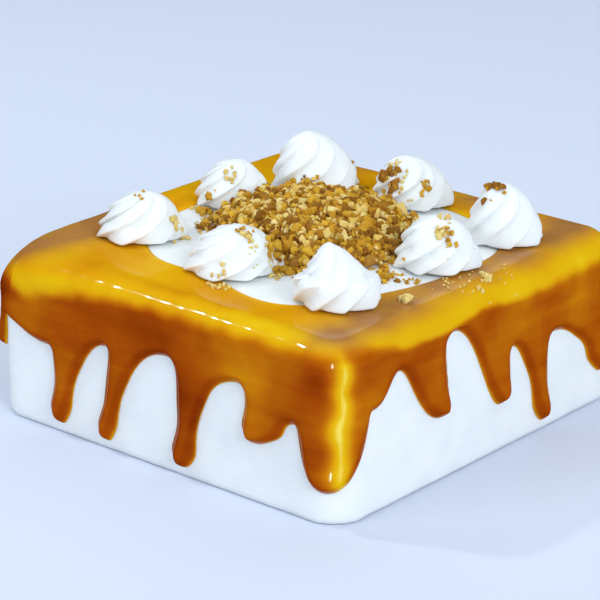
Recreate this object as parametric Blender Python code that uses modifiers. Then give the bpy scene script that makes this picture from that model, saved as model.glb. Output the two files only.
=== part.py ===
"""A square butterscotch cake: a whipped-cream block, a poured glaze that runs down its sides in drips,
eight piped cream rosettes round the top, and a heap of chopped nut brittle inside their ring.

Metres, +Z up. The origin is on the floor under the middle of the cake. The front face is -Y, and the
faces follow counter-clockwise: front, right (+X), back (+Y), left (-X).
"""

import math
import random

import bmesh
import bpy
from mathutils import Euler, Vector

MM = 0.001

# The cream block.
CAKE_SIDE = 196 * MM  # width and depth of the cream, under the glaze
CAKE_HEIGHT = 75 * MM  # floor to the cream's top, half-way along its edges
CORNER_RADIUS = 15 * MM  # the upright corners, seen from above
SHOULDER_RADIUS = 8 * MM  # the rounded top edge
SOFT_SHOULDER = 6 * MM  # how much rounder that edge gets at the right back corner
SOFT_SHARE = 0.5  # share of that softening at the left front corner
SOFT_REACH = 150 * MM  # how far along the edge that softening runs
CROWN = 1.5 * MM  # how much higher the top is in its middle
BACK_RISE = 2.1 * MM  # how much the back edge stands above the middle line, and the front below it
LEFT_RISE = 1.1 * MM  # the same of the left edge, and the right below it
SLUMP = 8 * MM  # how much lower the left front corner has settled
SLUMP_REACH = 17 * MM
FACE_COLUMNS = 13  # segments along each flat face
CORNER_COLUMNS = 5  # segments round each corner

# The glaze.
GAP = 0.3 * MM  # clearance between neighbouring solids
GLAZE_THICKNESS = 1.9 * MM
GLAZE_EDGE = 0.35  # share of the thickness at the drips' outline
GLAZE_LIP = 0.8  # share of the thickness at the bare middle's rim
DRIP_ROUNDING = 1.8 * MM  # width of the band over which a drip rises to full thickness
RIM_GAP = 0.6 * MM  # clearance between the glaze and the cream it frames

# The knots of the glaze's lower edge along each face, the drips' tips and the arches of bare cream in
# turn: the place where the stream starts at the top of the side, the knot's height over the floor, how
# far the edge runs level before and after it, and the stream's lean, sideways over downwards.
FRONT, RIGHT = 0, 1
DRIPS = {
    FRONT: (
        (-96, 32, 5, 5, -0.05),
        (-86, 47, 4, 2, -0.1),
        (-56.5, 39.5, 14, 6, -0.2),
        (-46, 5, 8.5, 8.5, -0.14),
        (-22, 47.5, 18, 6, -0.28),
        (-14.5, 4.5, 7.5, 7, -0.2),
        (12, 52, 27, 12.5, -0.28),
        (28, 4.5, 8.5, 9, -0.2),
        (47, 50.5, 22, 8, -0.08),
        (57, 26.5, 8, 8.5, -0.06),
        (76, 40.5, 5.5, 3, 0),
        (93, 15, 10, 9, 0),
    ),
    RIGHT: (
        (-79, 46, 2, 9, 0),
        (-63, 58, 5, 7, 0.09),
        (-41.5, 29.5, 12, 8, 0.25),
        (-28, 64.3, 13, 15.5, 0.23),
        (1, 22.5, 14, 8.5, 0.15),
        (10, 45.5, 5, 10, 0.2),
        (31.5, 5, 9, 7, 0.1),
        (40.5, 43.5, 9, 21, 0.18),
        (80, 15, 7, 8, 0.03),
        (94, 45, 5, 5, 0),
    ),
}
# The rest, round the two faces behind: so many drips, with their knots between these heights and reaches.
HIDDEN_DRIPS = 12
HIDDEN_TIPS = (5 * MM, 32 * MM)
HIDDEN_ARCHES = (42 * MM, 56 * MM)
HIDDEN_REACH = (7 * MM, 11 * MM)
HIDDEN_SHIFT = 3 * MM  # how far a hidden knot strays from even spacing
HIDDEN_LEAN = 0.2
FLANK_TIMES = (0, 0.14, 0.3, 0.7, 0.86, 1)  # where a drip's side has its points, closest at both bends
CORNER_STEP = 3.6 * MM  # the longest segment along a rounded corner

# The bare middle that the glaze leaves: its rim's distance from this centre, every 30 degrees from +X.
BARE_CENTRE = Vector((5, 2)) * MM
BARE_RIM = [radius * MM for radius in (74, 78, 70, 66, 68, 80, 72, 76, 76, 70, 87, 77)]

# A rosette's outline as shares of its radius and height, from the base up: a rounded one, and one
# whose last turn was pulled up into a peak.
DOME = ((0.9, 0), (1, 0.14), (0.99, 0.3), (0.93, 0.46), (0.82, 0.62), (0.62, 0.78), (0.34, 0.92))
PEAK = ((0.95, 0), (1, 0.11), (0.93, 0.24), (0.77, 0.38), (0.58, 0.52), (0.38, 0.68), (0.18, 0.85))
# Each rosette: centre, base radius, height, outline, ribs, turn in degrees and the way its top leans.
ROSETTES = (
    (Vector((63, -57)) * MM, 17.5 * MM, 25 * MM, PEAK, 8, -2, Vector((-3, -3)) * MM),
    (Vector((5, -55)) * MM, 20.7 * MM, 19 * MM, DOME, 7, 50, Vector((1, 1)) * MM),
    (Vector((-55, -48)) * MM, 19.5 * MM, 20 * MM, DOME, 7, 5, Vector((-1, 1)) * MM),
    (Vector((-56, 11)) * MM, 17.5 * MM, 20 * MM, DOME, 7, 22, Vector((1, 1)) * MM),
    (Vector((-41, 52)) * MM, 20.3 * MM, 27 * MM, DOME, 8, 0, Vector((-4, -3)) * MM),
    (Vector((7, 63)) * MM, 18.5 * MM, 22 * MM, DOME, 8, 15, Vector((-2, -2)) * MM),
    (Vector((69, 47)) * MM, 17 * MM, 26 * MM, DOME, 7, 28, Vector((-2, -2)) * MM),
    (Vector((67, 3)) * MM, 18.7 * MM, 22 * MM, DOME, 8, 12, Vector((-1, 0)) * MM),
)
ROSETTE_TWIST = math.radians(125)  # a rib's turn from the base to the top
CREASE_DEPTH = 0.2  # share of the radius that a crease cuts in
CREASE_SHARPNESS = 0.7  # 1 makes the ribs round, less makes them fuller and the creases narrower
FOOT_CREASE = 1.5  # how much deeper it cuts at the foot, whose ribs end in points
RIB_STEPS = 4  # segments across one rib

# The heap of chopped brittle.
HEAP_CENTRE = Vector((-4, 4)) * MM
HEAP_HEIGHT = 10 * MM
HEAP_RIM = 1.2 * MM  # height of the core at its edge
HEAP_FULLNESS = 0.6  # 1 makes the mound a cosine, less makes its top broader
HEAP_CLEARANCE = 1.5 * MM  # from the core to the rosettes round it
# How far it spills between the rosettes: its rim's distance from its centre, every 30 degrees from +X.
HEAP_SPILL = [reach * MM for reach in (50, 44, 42, 38, 40, 42, 36, 43, 37, 40, 52, 60)]
HEAP_COLUMNS = 48
HEAP_RINGS = (0.3, 0.6, 0.85)
CHIPS = 84
CHIP_SPREAD = 0.97  # share of the core's reach that the chips cover
CHIP_LIFT = 0.6 * MM  # from the core's surface up to a chip's middle
CHIP_SIZE = (3.6 * MM, 5.6 * MM)
CHIP_REACH = 0.62  # share of its size that a chip reaches from its middle
CHIP_STRETCH = ((0.85, 1.25), (0.75, 1.1), (0.6, 0.9))  # a chip's length, width and height over its size
CHIP_KNOCK = 0.14  # how far its corners are knocked about, as a share of its size
CHIPS_ON_ROSETTES = {2: 2, 4: 2, 6: 5, 7: 2, 8: 3}  # rosette number: how many lie on it
ROSETTE_CHIP_SIZE = (2.6 * MM, 3.8 * MM)
GOLDEN_ANGLE = math.radians(137.508)

HALF = CAKE_SIDE / 2
HALF_FLAT = HALF - CORNER_RADIUS
ARC = math.pi / 2 * CORNER_RADIUS
FACE_RUN = 2 * HALF_FLAT + ARC
PERIMETER = 4 * FACE_RUN
SHOULDER_ANGLES = [math.radians(angle) for angle in (90, 45, 0)]
TOPPING_FLOOR = CAKE_HEIGHT + 2 * GAP + GLAZE_THICKNESS
BARE_TOP = CAKE_HEIGHT + GAP + GLAZE_THICKNESS * GLAZE_LIP


def lerp(a, b, share):
    return a + (b - a) * share


def settled(point):
    """The point as it lies on the real cake, whose top is crowned, a little higher at the back left and
    slumped at the left front corner."""
    across, along = point[0] / HALF, point[1] / HALF
    crown = CROWN * max(0, 1 - across**2) * max(0, 1 - along**2)
    rise = crown + BACK_RISE * along - LEFT_RISE * across
    from_corner = math.hypot(point[0] + HALF, point[1] + HALF)
    rise -= SLUMP * math.exp(-((from_corner / SLUMP_REACH) ** 2))
    return Vector((point[0], point[1], point[2] * (1 + rise / CAKE_HEIGHT)))


def run_of(face, place):
    """The distance along the outline to a place on a face, from -HALF to HALF, corners included."""
    beyond = max(0, abs(place) - HALF_FLAT) / CORNER_RADIUS * ARC / 2
    on_flat = max(-HALF_FLAT, min(HALF_FLAT, place))
    return face * FACE_RUN + HALF_FLAT + on_flat + math.copysign(beyond, place)


def outline(run, inset=0):
    """The point of the cake's plan outline at this run, moved inwards by inset."""
    face, along = divmod(run % PERIMETER, FACE_RUN)
    if along <= 2 * HALF_FLAT:
        x, y = along - HALF_FLAT, inset - HALF
    else:
        angle = (along - 2 * HALF_FLAT) / CORNER_RADIUS
        x = HALF_FLAT + (CORNER_RADIUS - inset) * math.sin(angle)
        y = -HALF_FLAT - (CORNER_RADIUS - inset) * math.cos(angle)
    for _ in range(int(face)):
        x, y = -y, x
    return Vector((x, y))


def shoulder(run):
    """The radius of the top edge, which is softest at the right back corner and at the left front one."""
    radius = SHOULDER_RADIUS
    for corner, share in ((run_of(RIGHT, HALF), 1), (run_of(FRONT, -HALF), SOFT_SHARE)):
        away = abs((run - corner + PERIMETER / 2) % PERIMETER - PERIMETER / 2)
        if away < SOFT_REACH:
            radius += share * SOFT_SHOULDER * math.cos(away / SOFT_REACH * math.pi / 2) ** 2
    return radius


def rim_distance(rim, angle):
    """The distance from a rim's centre at this angle, smoothly through the rim's evenly spaced values."""
    step = 2 * math.pi / len(rim)
    index, share = divmod(angle % (2 * math.pi) / step, 1)
    before, start, end, after = (rim[(int(index) + k) % len(rim)] for k in (-1, 0, 1, 2))
    linear = (end - before) / 2
    square = before - 2.5 * start + 2 * end - after / 2
    cubic = 1.5 * (start - end) + (after - before) / 2
    return start + share * (linear + share * (square + share * cubic))


def bare_point(run, clearance):
    """The point of the bare middle's rim that faces the outline at this run."""
    towards = outline(run, shoulder(run)) - BARE_CENTRE
    distance = rim_distance(BARE_RIM, math.atan2(towards.y, towards.x)) + clearance
    return BARE_CENTRE + towards.normalized() * distance


def shoulder_point(run, angle, lift):
    """A point on the rounded edge, at this angle over the level and lifted off the cream."""
    radius = shoulder(run)
    inset = radius - (radius + lift) * math.cos(angle)
    place = outline(run, inset)
    return (place.x, place.y, CAKE_HEIGHT - radius + (radius + lift) * math.sin(angle))


def loft(rings, first_cap=None, last_cap=None):
    """A bmesh of closed rings of equally many points, skinned in order, each end closed by its cap point."""
    mesh = bmesh.new()
    rows = [[mesh.verts.new(point) for point in ring] for ring in rings]
    count = len(rings[0])
    for lower, upper in zip(rows, rows[1:]):
        for i in range(count):
            j = (i + 1) % count
            mesh.faces.new((lower[i], lower[j], upper[j], upper[i]))
    for row, cap in ((rows[0], first_cap), (rows[-1], last_cap)):
        if cap is not None:
            middle = mesh.verts.new(cap)
            for i in range(count):
                mesh.faces.new((row[i], row[(i + 1) % count], middle))
    bmesh.ops.recalc_face_normals(mesh, faces=mesh.faces)
    return mesh


def add_object(name, mesh, material, collection):
    """Turns a bmesh into a named object with its material, shaded smooth but for its creases."""
    data = bpy.data.meshes.new(name)
    mesh.to_mesh(data)
    mesh.free()
    data.materials.append(material)
    data.shade_smooth()
    data.set_sharp_from_angle(angle=math.radians(50))
    obj = bpy.data.objects.new(name, data)
    collection.objects.link(obj)
    return obj


def add_material(name, colour, roughness):
    material = bpy.data.materials.new(name)
    material.use_nodes = True
    shader = material.node_tree.nodes["Principled BSDF"]
    shader.inputs["Base Color"].default_value = (*colour, 1)
    shader.inputs["Roughness"].default_value = roughness
    shader.inputs["Metallic"].default_value = 0
    return material


def drip_knots():
    """Every knot round the cake: its run at the top of the side, its height, its level reach before and
    after, and its lean."""
    knots = []
    for face, line in DRIPS.items():
        for place, height, before, after, lean in line:
            knots.append((run_of(face, place * MM), height * MM, before * MM, after * MM, lean))
    rng = random.Random(3)
    last = knots[-1][0]
    pitch = (knots[0][0] + PERIMETER - last) / (2 * HIDDEN_DRIPS + 1)
    for i in range(2 * HIDDEN_DRIPS):
        height = rng.uniform(*(HIDDEN_ARCHES if i % 2 else HIDDEN_TIPS))
        run = last + (i + 1) * pitch + rng.uniform(-HIDDEN_SHIFT, HIDDEN_SHIFT)
        before, after = (rng.uniform(*HIDDEN_REACH) for _ in range(2))
        knots.append((run, height, before, after, rng.uniform(-HIDDEN_LEAN, HIDDEN_LEAN)))
    return knots


def corner_share(start, end):
    """How much of a stretch of the outline lies on the rounded corner that it reaches."""
    start, end = start % FACE_RUN, start % FACE_RUN + end - start
    return max(0, min(end, FACE_RUN) - max(start, 2 * HALF_FLAT))


def bezier(ends, t):
    weights = ((1 - t) ** 3, 3 * t * (1 - t) ** 2, 3 * t**2 * (1 - t), t**3)
    return sum(weight * value for weight, value in zip(weights, ends))


def flank(start, end):
    """Points along the glaze's lower edge from one knot up to, not including, the next, each as the run
    where its stream starts, its own run and its height."""
    runs = (start[0], start[0] + start[3], end[0] - end[2], end[0])
    heights = (start[1], start[1], end[1], end[1])
    points = []
    for early, late in zip(FLANK_TIMES, FLANK_TIMES[1:]):
        on_corner = corner_share(bezier(runs, early), bezier(runs, late))
        pieces = 1 + int(on_corner / CORNER_STEP)
        for piece in range(pieces):
            t = lerp(early, late, piece / pieces)
            root, height = bezier(runs, t), bezier(heights, t)
            lean = lerp(start[4], end[4], (root - start[0]) / (end[0] - start[0]))
            points.append((root, root + lean * (CAKE_HEIGHT - SHOULDER_RADIUS - height), height))
    return points


def drip_outline():
    """The glaze's whole lower edge, in flank's form, counter-clockwise from the front's left end."""
    knots = drip_knots()
    first = knots[0]
    points = []
    for start, end in zip(knots, knots[1:] + [(first[0] + PERIMETER, *first[1:])]):
        points += flank(start, end)
    return points


def inner_band(points):
    """The edge moved into the glaze by DRIP_ROUNDING, where a drip reaches its full thickness, as (run,
    height) points."""
    count = len(points)
    moved = []
    for i, (_, run, height) in enumerate(points):
        before, after = points[i - 1], points[(i + 1) % count]
        forward = (after[1] - before[1] + PERIMETER / 2) % PERIMETER - PERIMETER / 2
        normal = Vector((before[2] - after[2], forward)).normalized()
        moved.append((run + normal.x * DRIP_ROUNDING, height + normal.y * DRIP_ROUNDING))
    return moved


def smoothed_runs(points, reach=3):
    """The runs where the points' streams start, averaged with their neighbours', so that they fan out evenly."""
    count = len(points)
    runs = []
    for i in range(count):
        around = [divmod(i + k, count) for k in range(-reach, reach + 1)]
        runs.append(sum(points[at][0] + PERIMETER * laps for laps, at in around) / len(around))
    return runs


def cake_block(material, collection):
    """The cream block. Its bare middle stands up to the glaze's level."""
    runs = []
    for face in range(4):
        corner = (face + 1) * FACE_RUN - ARC
        runs += [face * FACE_RUN + 2 * HALF_FLAT * i / FACE_COLUMNS for i in range(FACE_COLUMNS)]
        runs += [corner + ARC * i / CORNER_COLUMNS for i in range(CORNER_COLUMNS)]
    half_way = [BARE_CENTRE.lerp(bare_point(run, 0), 0.5) for run in runs]
    rings = [[(place.x, place.y, BARE_TOP) for place in half_way]]
    for height, clearance in ((BARE_TOP, -RIM_GAP), (CAKE_HEIGHT, -RIM_GAP / 2)):
        places = [bare_point(run, clearance) for run in runs]
        rings.append([(place.x, place.y, height) for place in places])
    for angle in SHOULDER_ANGLES:
        rings.append([shoulder_point(run, angle, 0) for run in runs])
    rings.append([(*outline(run), 0) for run in runs])
    rings = [[settled(point) for point in ring] for ring in rings]
    top = settled((BARE_CENTRE.x, BARE_CENTRE.y, BARE_TOP))
    mesh = loft(rings, first_cap=top, last_cap=Vector((0, 0, 0)))
    return add_object("cake", mesh, material, collection)


def glaze(material, collection):
    """The glaze: an open surface just off the cream, thickened outwards and thinner along its edges."""
    edge = drip_outline()
    band = inner_band(edge)
    runs = smoothed_runs(edge)
    rings = [[(*bare_point(run, 0), CAKE_HEIGHT + GAP) for run in runs]]
    for angle in SHOULDER_ANGLES:
        rings.append([shoulder_point(run, angle, GAP) for run in runs])
    for row in (band, [(run, height) for _, run, height in edge]):
        rings.append([(*outline(run, -GAP), height) for run, height in row])
    rings = [[settled(point) for point in ring] for ring in rings]
    obj = add_object("glaze", loft(rings), material, collection)

    fullness = obj.vertex_groups.new(name="fullness")
    count = len(edge)
    for row in range(len(rings)):
        share = {0: GLAZE_LIP, len(rings) - 1: GLAZE_EDGE}.get(row, 1)
        fullness.add(range(row * count, (row + 1) * count), share, "REPLACE")
    shell = obj.modifiers.new("thickness", "SOLIDIFY")
    shell.thickness = GLAZE_THICKNESS
    shell.offset = 1
    shell.vertex_group = fullness.name
    return obj


def rosette_point(size, level, turn):
    """A point of a rosette, at a level of its outline and at an angle round it."""
    centre, radius, height, profile, ribs, start, lean = size
    share, rise = profile[level]
    angle = turn + math.radians(start) + ROSETTE_TWIST * rise
    depth = CREASE_DEPTH * (1 if level else FOOT_CREASE)
    reach = radius * share * (1 - depth * (1 - abs(math.sin(ribs * turn / 2)) ** CREASE_SHARPNESS))
    place = centre + lean * rise**2 + Vector((math.cos(angle), math.sin(angle))) * reach
    return settled((place.x, place.y, TOPPING_FLOOR)) + Vector((0, 0, rise * height))


def rosette(number, size, material, collection):
    """A piped kiss of cream: broad ribs with sharp creases between, which wind up to a leaning top."""
    centre, _, height, profile, ribs, _, lean = size
    steps = ribs * RIB_STEPS
    turns = [2 * math.pi * i / steps for i in range(steps)]
    rings = [[rosette_point(size, level, turn) for turn in turns] for level in range(len(profile))]
    foot = settled((centre.x, centre.y, TOPPING_FLOOR))
    top = foot + Vector((lean.x, lean.y, height))
    return add_object(f"rosette_{number}", loft(rings, foot, top), material, collection)


def chip(rng, place, sizes, floor, material, collection):
    """One chopped piece: a cube with its corners knocked about, turned any way, and no lower than floor."""
    size = rng.uniform(*sizes)
    mesh = bmesh.new()
    bmesh.ops.create_cube(mesh, size=size)
    stretch = Vector([rng.uniform(*limits) for limits in CHIP_STRETCH])
    turn = Euler([rng.uniform(0, math.tau) for _ in range(3)]).to_matrix()
    for vert in mesh.verts:
        knock = Vector([rng.uniform(-CHIP_KNOCK, CHIP_KNOCK) * size for _ in range(3)])
        vert.co = place + turn @ ((vert.co + knock) * stretch)
        vert.co.z = max(vert.co.z, floor)
    bmesh.ops.triangulate(mesh, faces=mesh.faces)
    return add_object("chip", mesh, material, collection)


def fuse(obj, chips):
    """Joins the chips to the object with one Boolean union and removes them."""
    union = obj.modifiers.new("fused chips", "BOOLEAN")
    union.operation = "UNION"
    union.operand_type = "COLLECTION"
    union.collection = chips
    union.solver = "EXACT"
    with bpy.context.temp_override(object=obj, active_object=obj, selected_objects=[obj]):
        bpy.ops.object.modifier_apply(modifier=union.name)
    for piece in list(chips.objects):
        bpy.data.objects.remove(piece, do_unlink=True)
    bpy.data.collections.remove(chips)


def heap_reach(angle):
    """How far the heap's core runs from its centre at this angle before it meets a rosette or thins out."""
    towards = Vector((math.cos(angle), math.sin(angle)))
    reach = rim_distance(HEAP_SPILL, angle)
    for centre, radius, *_ in ROSETTES:
        away = centre - HEAP_CENTRE
        along = away.dot(towards)
        aside = abs(away.cross(towards))
        keep_off = radius + HEAP_CLEARANCE
        if along > 0 and aside < keep_off:
            reach = min(reach, along - math.sqrt(keep_off**2 - aside**2))
    return reach


def heap_height(share):
    """The core's height at this share of its reach."""
    return HEAP_RIM + (HEAP_HEIGHT - HEAP_RIM) * math.cos(share * math.pi / 2) ** HEAP_FULLNESS


def heap_point(angle, share, height):
    place = HEAP_CENTRE + Vector((math.cos(angle), math.sin(angle))) * heap_reach(angle) * share
    return settled((place.x, place.y, TOPPING_FLOOR)) + Vector((0, 0, height))


def nut_heap(material, collection):
    """The heap: a low mound of crumbs with the chopped pieces that show fused on."""
    angles = [2 * math.pi * i / HEAP_COLUMNS for i in range(HEAP_COLUMNS)]
    rings = [[heap_point(angle, share, heap_height(share)) for angle in angles] for share in HEAP_RINGS]
    rings.append([heap_point(angle, 1, HEAP_RIM) for angle in angles])
    rings.append([heap_point(angle, 1, 0) for angle in angles])
    mesh = loft(rings, first_cap=heap_point(0, 0, HEAP_HEIGHT), last_cap=heap_point(0, 0, 0))
    heap = add_object("nut_heap", mesh, material, collection)

    rng = random.Random(4)
    chips = bpy.data.collections.new("chips")
    for i in range(CHIPS):
        angle = i * GOLDEN_ANGLE
        share = math.sqrt((i + 0.5) / CHIPS) * CHIP_SPREAD
        place = heap_point(angle, share, heap_height(share) + CHIP_LIFT)
        keep_off = CHIP_REACH * CHIP_SIZE[1]
        clear = all((place.xy - centre).length > radius + keep_off for centre, radius, *_ in ROSETTES)
        if clear:
            floor = heap_point(angle, share, GAP).z
            chip(rng, place, CHIP_SIZE, floor, material, chips)
    fuse(heap, chips)
    return heap


def chips_on_rosette(number, size, cream, nuts):
    """The few chopped pieces that stuck to a rosette's upper ribs."""
    rng = random.Random(number)
    chips = bpy.data.collections.new("chips")
    for _ in range(CHIPS_ON_ROSETTES[number]):
        level = rng.choice((2, 3, 4))
        place = rosette_point(size, level, rng.uniform(0, math.tau))
        chip(rng, place, ROSETTE_CHIP_SIZE, TOPPING_FLOOR, nuts, chips)
    fuse(cream, chips)


def build():
    for obj in list(bpy.data.objects):
        bpy.data.objects.remove(obj, do_unlink=True)
    cake = bpy.data.collections.new("butterscotch_cake")
    bpy.context.scene.collection.children.link(cake)

    cream = add_material("whipped_cream", (0.86, 0.87, 0.87), 0.55)
    amber = add_material("butterscotch_glaze", (0.42, 0.15, 0.01), 0.15)
    brittle = add_material("nut_brittle", (0.5, 0.27, 0.06), 0.45)

    cake_block(cream, cake)
    glaze(amber, cake)
    for number, size in enumerate(ROSETTES, start=1):
        piped = rosette(number, size, cream, cake)
        if number in CHIPS_ON_ROSETTES:
            chips_on_rosette(number, size, piped, brittle)
    nut_heap(brittle, cake)


build()
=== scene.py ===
"""The looks of a square butterscotch cake: a block coated with whipped cream, a poured glaze that runs
down its sides in drips, eight piped rosettes, and a heap of chopped nut brittle inside their ring.

Metres, +Z up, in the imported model's frame: -Y is the front face and +X the right face.
"""

import math
import random

import bmesh
import bpy
from mathutils import Euler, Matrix, Vector, kdtree, noise
from mathutils.bvhtree import BVHTree


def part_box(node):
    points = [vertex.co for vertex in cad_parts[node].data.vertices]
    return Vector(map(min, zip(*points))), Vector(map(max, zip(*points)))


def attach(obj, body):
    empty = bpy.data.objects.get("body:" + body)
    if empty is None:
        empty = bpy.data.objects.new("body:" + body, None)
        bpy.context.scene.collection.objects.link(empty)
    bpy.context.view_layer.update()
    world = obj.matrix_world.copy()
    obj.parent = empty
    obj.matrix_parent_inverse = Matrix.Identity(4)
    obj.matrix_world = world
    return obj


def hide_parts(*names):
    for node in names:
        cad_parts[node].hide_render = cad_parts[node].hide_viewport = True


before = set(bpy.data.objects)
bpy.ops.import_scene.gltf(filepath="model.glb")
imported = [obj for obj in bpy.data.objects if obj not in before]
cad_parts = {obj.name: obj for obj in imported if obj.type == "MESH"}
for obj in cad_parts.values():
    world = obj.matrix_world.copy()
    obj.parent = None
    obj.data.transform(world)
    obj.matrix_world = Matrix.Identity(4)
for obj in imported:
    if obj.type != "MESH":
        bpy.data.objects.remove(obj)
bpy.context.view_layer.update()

# ----------------------------------------------------------------------------------------------------
# The cream block. Sponge layers are coated all round with whipped cream. A palette knife levels the
# top, and a toothed scraper drawn along the sides leaves faint level lines.

MM = 0.001
WELD = 0.01 * MM  # points of a node's mesh that are closer than this are one
BLOCK_VOXEL, BLOCK_SMOOTHING = 1.7 * MM, 4  # how finely the block is remeshed, and rounds of smoothing
KNIFE_PATCH = 14 * MM  # size of the unevenness that the knife leaves
KNIFE_DEPTH = 0.5 * MM
SCRAPER_PITCH = 3.3 * MM  # between the level lines on the sides
SCRAPER_DRIFT = 7  # how far those lines stray, in radians of their wave
PORE_DEPTH = 0.4 * MM
CREAM_SHADES = ((0.3, (0.84, 0.87, 0.88)), (0.7, (0.90, 0.92, 0.92)))  # over its soft patches


class Wire:
    """A socket that gives a value. Arithmetic on it adds the Math nodes that work it out."""

    def __init__(self, tree, socket=None):
        self.tree = tree
        self.socket = socket

    def node(self, kind, settings=None, values=None, output=0):
        """Adds a node: first its settings, a ramp's stops among them, then its sockets' values or links."""
        made = self.tree.nodes.new("ShaderNode" + kind)
        for name, value in (settings or {}).items():
            if name == "stops":
                ramp = made.color_ramp.elements
                while len(ramp) < len(value):
                    ramp.new(1)
                for stop, (place, colour) in zip(ramp, value):
                    stop.position = place
                    stop.color = (*colour, 1)
            else:
                setattr(made, name, value)
        for name, value in (values or {}).items():
            if isinstance(value, Wire):
                self.tree.links.new(value.socket, made.inputs[name])
            else:
                made.inputs[name].default_value = value
        return Wire(self.tree, made.outputs[output])

    def maths(self, operation, *values, clamp=False):
        """Adds a Math node on these numbers and wires."""
        return self.node("Math", {"operation": operation, "use_clamp": clamp}, dict(enumerate(values)))

    def __add__(self, other):
        return self.maths("ADD", self, other)

    def __sub__(self, other):
        return self.maths("SUBTRACT", self, other)

    def __rsub__(self, other):
        return self.maths("SUBTRACT", other, self)

    def __mul__(self, other):
        return self.maths("MULTIPLY", self, other)

    def __truediv__(self, other):
        return self.maths("DIVIDE", self, other)

    __radd__ = __add__
    __rmul__ = __mul__


def new_material(name, constants):
    """A material, the wire that its nodes start from, and its shader with these constants set."""
    material = bpy.data.materials.new(name)
    material.use_nodes = True
    shader = material.node_tree.nodes["Principled BSDF"]
    for socket, value in constants.items():
        shader.inputs[socket].default_value = value
    return material, Wire(material.node_tree), shader


def feed(shader, socket, wire):
    """Links the wire to this socket of the shader."""
    wire.tree.links.new(wire.socket, shader.inputs[socket])


def finish(piece, kind, **settings):
    """Adds a modifier of this kind to the piece, sets it and applies it."""
    modifier = piece.modifiers.new(kind.lower(), kind)
    for name, value in settings.items():
        setattr(modifier, name, value)
    bpy.context.view_layer.objects.active = piece
    bpy.ops.object.modifier_apply(modifier=modifier.name)


def pick(piece):
    """Leaves this piece alone selected, and active."""
    bpy.ops.object.select_all(action="DESELECT")
    piece.select_set(True)
    bpy.context.view_layer.objects.active = piece


def new_piece(name, mesh, material):
    """An object at the origin for a finished mesh, with its material and smooth shading."""
    piece = bpy.data.objects.new(name, mesh)
    bpy.context.scene.collection.objects.link(piece)
    mesh.materials.clear()
    mesh.materials.append(material)
    mesh.shade_smooth()
    return piece


def roughen(piece, patch, depth):
    """Moves the surface in and out by up to half the depth, in soft patches of this size."""
    clouds = bpy.data.textures.new(piece.name, "CLOUDS")
    clouds.noise_scale = patch
    clouds.noise_depth = 2
    finish(piece, "DISPLACE", texture=clouds, strength=depth, mid_level=0.5, texture_coords="LOCAL")


def cream_material(name, lines):
    """Whipped cream: white, soft and a little waxy, with fine pores, and level lines where it was scraped."""
    material, wire, shader = new_material(name, {
        "Subsurface Weight": 0.4,
        "Subsurface Scale": 6 * MM,
        "Subsurface Radius": (1, 0.9, 0.8),
        "Specular IOR Level": 0.35,
    })
    place = wire.node("TexCoord", output="Object")
    patches = wire.node("TexNoise", None, {"Vector": place, "Scale": 60, "Detail": 3})
    pores = wire.node("TexNoise", None, {"Vector": place, "Scale": 900, "Detail": 4, "Roughness": 0.7})
    feed(shader, "Base Color", wire.node("ValToRGB", {"stops": CREAM_SHADES}, {0: patches}))
    feed(shader, "Roughness", 0.42 + patches * 0.2)
    height = pores * 0.25 + patches * 0.5
    if lines:
        drift = wire.node("TexNoise", None, {"Vector": place, "Scale": 14, "Detail": 2})
        level = wire.node("SeparateXYZ", None, {0: place}, output="Z")
        wave = wire.maths("SINE", level * (math.tau / SCRAPER_PITCH) + drift * SCRAPER_DRIFT)
        normal = wire.node("NewGeometry", output="Normal")
        upright = 1 - wire.node("SeparateXYZ", None, {0: normal}, output="Z")
        height = height + wave * drift * patches * upright * 0.5
    bump = wire.node("Bump", None, {"Strength": 0.35, "Distance": PORE_DEPTH, "Height": height})
    feed(shader, "Normal", bump)
    return material


def fine_copy(name, node, material, voxel, smoothing):
    """A piece from the node's mesh, with its loose triangles welded, remeshed finely and smoothed."""
    piece = new_piece(name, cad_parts[node].data.copy(), material)
    pick(piece)
    bpy.ops.object.mode_set(mode="EDIT")
    bpy.ops.mesh.select_all(action="SELECT")
    bpy.ops.mesh.remove_doubles(threshold=WELD)
    bpy.ops.object.mode_set(mode="OBJECT")
    finish(piece, "REMESH", mode="VOXEL", voxel_size=voxel, use_smooth_shade=True)
    finish(piece, "SMOOTH", factor=0.5, iterations=smoothing)
    return piece


block_cream = cream_material("block cream", lines=True)
cream_block = fine_copy("cream_block", "cake", block_cream, BLOCK_VOXEL, BLOCK_SMOOTHING)
roughen(cream_block, KNIFE_PATCH, KNIFE_DEPTH)
for vert in cream_block.data.vertices:
    vert.co.z = max(vert.co.z, 0)
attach(cream_block, "root")
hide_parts("cake")

# ----------------------------------------------------------------------------------------------------
# The glaze. Warm butterscotch sauce is poured round the edge of the top, so it stays thin there, rolls
# over the shoulder and runs down the sides in thick rounded drips that set as they cool.

CAKE_HEIGHT = 75 * MM
HALF = 98 * MM  # half the cream's width
CORNER_RADIUS = 15 * MM
SHOULDER_RADIUS = 8 * MM
SOFT_SHOULDER = 6 * MM  # how much rounder the top edge gets at the right back corner
SOFT_SHARE = 0.5  # share of that softening at the left front corner
SOFT_REACH = 150 * MM
CROWN, BACK_RISE, LEFT_RISE = 1.5 * MM, 2.1 * MM, 1.1 * MM  # how the top rises to its middle, back and left
SLUMP, SLUMP_REACH = 8 * MM, 17 * MM  # how far the left front corner has settled
BARE_CENTRE = Vector((5, 2)) * MM
BARE_RIM = [radius * MM for radius in (74, 78, 70, 66, 68, 80, 72, 76, 76, 70, 87, 77)]  # every 30 degrees
BARE_LIFT = 1.8 * MM  # how far the bare cream stands over the cream under the glaze

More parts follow.
